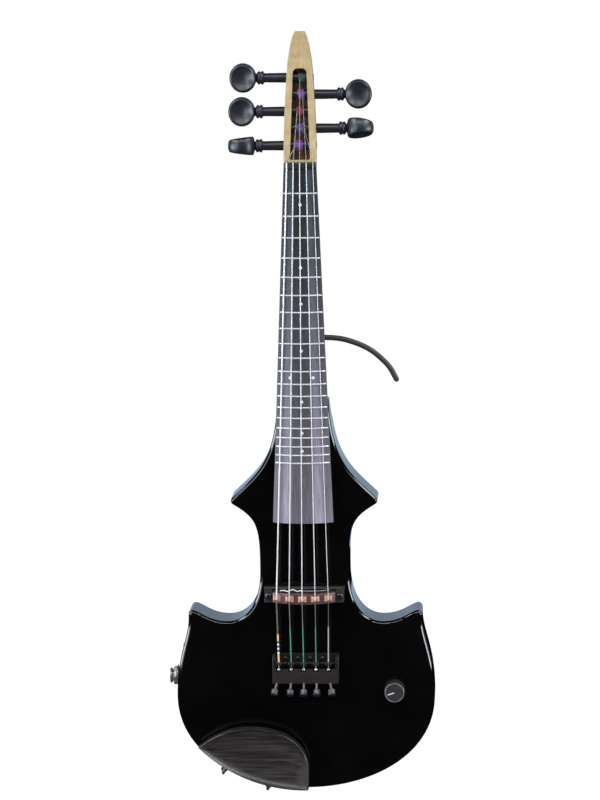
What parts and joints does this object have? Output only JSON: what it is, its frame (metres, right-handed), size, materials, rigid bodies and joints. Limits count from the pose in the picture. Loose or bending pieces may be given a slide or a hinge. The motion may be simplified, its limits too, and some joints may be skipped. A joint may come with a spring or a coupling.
{
  "type": "five-string fretted electric violin",
  "caption": "Solid-body fretted electric violin with a horned black body, maple neck with open pegbox, arched bridge, fine-tuner tailpiece and a clamped side chinrest.",
  "frame": {"origin": "on the flat back of the body, on the centre line, level with the bridge saddles", "axes": "+X to the treble side, +Z along the neck towards the head, +Y out of the back; the playing side faces -Y"},
  "size_m": [0.2054, 0.0689, 0.5849],
  "materials": {
    "black_gloss": "polished black lacquer over the wooden body",
    "black_plastic": "satin moulded",
    "maple": "clear satin lacquer",
    "ebony_board": "oiled satin",
    "ebony": "polished",
    "black_metal": "satin black",
    "bridge_wood": "polished",
    "copper": "bright copper",
    "steel": "polished",
    "string_steel": "wound string",
    "lead_white": "insulated lead",
    "knob_plastic": "satin",
    "chrome_jack": "nickel plated",
    "battery_case": "semi gloss",
    "circuit_board": "solder mask",
    "rosewood": "oiled satin",
    "rubber_sleeve": "matte"
  },
  "bodies": {
    "root": {"body": "black_gloss", "cavity_cover": "black_plastic", "cover_screw_1": "black_metal", "cover_screw_2": "black_metal", "cover_screw_3": "black_metal", "cover_screw_4": "black_metal", "neck_screw_1": "steel", "neck_screw_2": "steel", "neck_screw_3": "steel", "neck_screw_4": "steel", "neck": "maple", "fingerboard": "ebony_board", "nut": "ebony_board", "string_1": "string_steel", "string_2": "string_steel", "string_3": "string_steel", "string_4": "string_steel", "string_5": "string_steel", "bridge_base": "black_metal", "bridge_screw_1": "steel", "bridge_screw_2": "steel", "bridge_bar": "bridge_wood", "saddle_1": "copper", "saddle_2": "copper", "saddle_3": "copper", "saddle_4": "copper", "saddle_5": "copper", "pickup_lead": "lead_white", "tailpiece_frame": "black_metal", "lever_pin": "steel", "volume_pot": "steel", "output_jack": "chrome_jack", "jack_nut": "chrome_jack", "side_plate": "black_metal", "battery": "battery_case", "preamp_board": "circuit_board", "chinrest": "rosewood", "clamp_bracket": "steel", "support_arm": "rubber_sleeve", "arm_bracket": "black_plastic"},
    "peg_1": {"peg_1": "ebony"},
    "peg_2": {"peg_2": "ebony"},
    "peg_3": {"peg_3": "ebony"},
    "peg_4": {"peg_4": "ebony"},
    "peg_5": {"peg_5": "ebony"},
    "tuner_screw_1": {"tuner_screw_1": "black_metal"},
    "tuner_screw_2": {"tuner_screw_2": "black_metal"},
    "tuner_screw_3": {"tuner_screw_3": "black_metal"},
    "tuner_screw_4": {"tuner_screw_4": "black_metal"},
    "tuner_screw_5": {"tuner_screw_5": "black_metal"},
    "tuner_lever_1": {"tuner_lever_1": "black_metal"},
    "tuner_lever_2": {"tuner_lever_2": "black_metal"},
    "tuner_lever_3": {"tuner_lever_3": "black_metal"},
    "tuner_lever_4": {"tuner_lever_4": "black_metal"},
    "tuner_lever_5": {"tuner_lever_5": "black_metal"},
    "volume_knob": {"volume_knob": "knob_plastic", "volume_shaft": "steel"},
    "clamp_barrel_1": {"clamp_barrel_1": "steel"},
    "clamp_barrel_2": {"clamp_barrel_2": "steel"},
    "clamp_foot": {"clamp_foot": "steel"}
  },
  "joints": [
    {"name": "peg_1_turn", "type": "hinge", "parent": "root", "child": "peg_1", "pos_m": [0, -0.03222, 0.3441], "axis": [1, 0, 0], "continuous": true},
    {"name": "peg_2_turn", "type": "hinge", "parent": "root", "child": "peg_2", "pos_m": [0, -0.02902, 0.3697], "axis": [1, 0, 0], "continuous": true},
    {"name": "peg_3_turn", "type": "hinge", "parent": "root", "child": "peg_3", "pos_m": [0, -0.02586, 0.395], "axis": [1, 0, 0], "continuous": true},
    {"name": "peg_4_turn", "type": "hinge", "parent": "root", "child": "peg_4", "pos_m": [0, -0.02744, 0.3824], "axis": [1, 0, 0], "continuous": true},
    {"name": "peg_5_turn", "type": "hinge", "parent": "root", "child": "peg_5", "pos_m": [0, -0.03062, 0.3569], "axis": [1, 0, 0], "continuous": true},
    {"name": "tuner_screw_1_travel", "type": "slide", "parent": "root", "child": "tuner_screw_1", "axis": [0.2055, 0.5613, 0.8017], "range_m": [0, 0.002]},
    {"name": "tuner_screw_2_travel", "type": "slide", "parent": "root", "child": "tuner_screw_2", "axis": [0.0499, 0.5729, 0.8181], "range_m": [0, 0.002]},
    {"name": "tuner_screw_3_travel", "type": "slide", "parent": "root", "child": "tuner_screw_3", "axis": [0, 0.5736, 0.8192], "range_m": [0, 0.002]},
    {"name": "tuner_screw_4_travel", "type": "slide", "parent": "root", "child": "tuner_screw_4", "axis": [-0.03, 0.5733, 0.8188], "range_m": [0, 0.002]},
    {"name": "tuner_screw_5_travel", "type": "slide", "parent": "root", "child": "tuner_screw_5", "axis": [-0.158, 0.5664, 0.8089], "range_m": [0, 0.002]},
    {"name": "tuner_lever_1_pivot", "type": "hinge", "parent": "root", "child": "tuner_lever_1", "pos_m": [-0.0198, -0.0454, -0.052], "axis": [1, 0, 0], "range_deg": [0, 8.5]},
    {"name": "tuner_lever_2_pivot", "type": "hinge", "parent": "root", "child": "tuner_lever_2", "pos_m": [-0.0103, -0.0454, -0.052], "axis": [1, 0, 0], "range_deg": [0, 8.5]},
    {"name": "tuner_lever_3_pivot", "type": "hinge", "parent": "root", "child": "tuner_lever_3", "pos_m": [-0.0008, -0.0454, -0.052], "axis": [1, 0, 0], "range_deg": [0, 8.5]},
    {"name": "tuner_lever_4_pivot", "type": "hinge", "parent": "root", "child": "tuner_lever_4", "pos_m": [0.0087, -0.0454, -0.052], "axis": [1, 0, 0], "range_deg": [0, 8.5]},
    {"name": "tuner_lever_5_pivot", "type": "hinge", "parent": "root", "child": "tuner_lever_5", "pos_m": [0.0182, -0.0454, -0.052], "axis": [1, 0, 0], "range_deg": [0, 8.5]},
    {"name": "volume_turn", "type": "hinge", "parent": "root", "child": "volume_knob", "pos_m": [0.0686, -0.045, -0.074], "axis": [0, 1, 0], "range_deg": [-40, 260]},
    {"name": "clamp_barrel_1_turn", "type": "hinge", "parent": "root", "child": "clamp_barrel_1", "pos_m": [-0.0644, -0.019, -0.1395], "axis": [0, 1, 0], "range_deg": [0, 1080]},
    {"name": "clamp_barrel_2_turn", "type": "hinge", "parent": "root", "child": "clamp_barrel_2", "pos_m": [-0.0301, -0.019, -0.1522], "axis": [0, 1, 0], "range_deg": [0, 1080]},
    {"name": "clamp_foot_travel", "type": "slide", "parent": "root", "child": "clamp_foot", "axis": [0, 1, 0], "range_m": [0, 0.003]}
  ],
  "couplings": [
    {"joint": "tuner_lever_1_pivot", "follows": "tuner_screw_1_travel", "rad_per_m": 72},
    {"joint": "tuner_lever_2_pivot", "follows": "tuner_screw_2_travel", "rad_per_m": 72},
    {"joint": "tuner_lever_3_pivot", "follows": "tuner_screw_3_travel", "rad_per_m": 72},
    {"joint": "tuner_lever_4_pivot", "follows": "tuner_screw_4_travel", "rad_per_m": 72},
    {"joint": "tuner_lever_5_pivot", "follows": "tuner_screw_5_travel", "rad_per_m": 72},
    {"joint": "clamp_barrel_1_turn", "follows": "clamp_foot_travel", "rad_per_m": 6283.2},
    {"joint": "clamp_barrel_2_turn", "follows": "clamp_foot_travel", "rad_per_m": 6283.2}
  ]
}
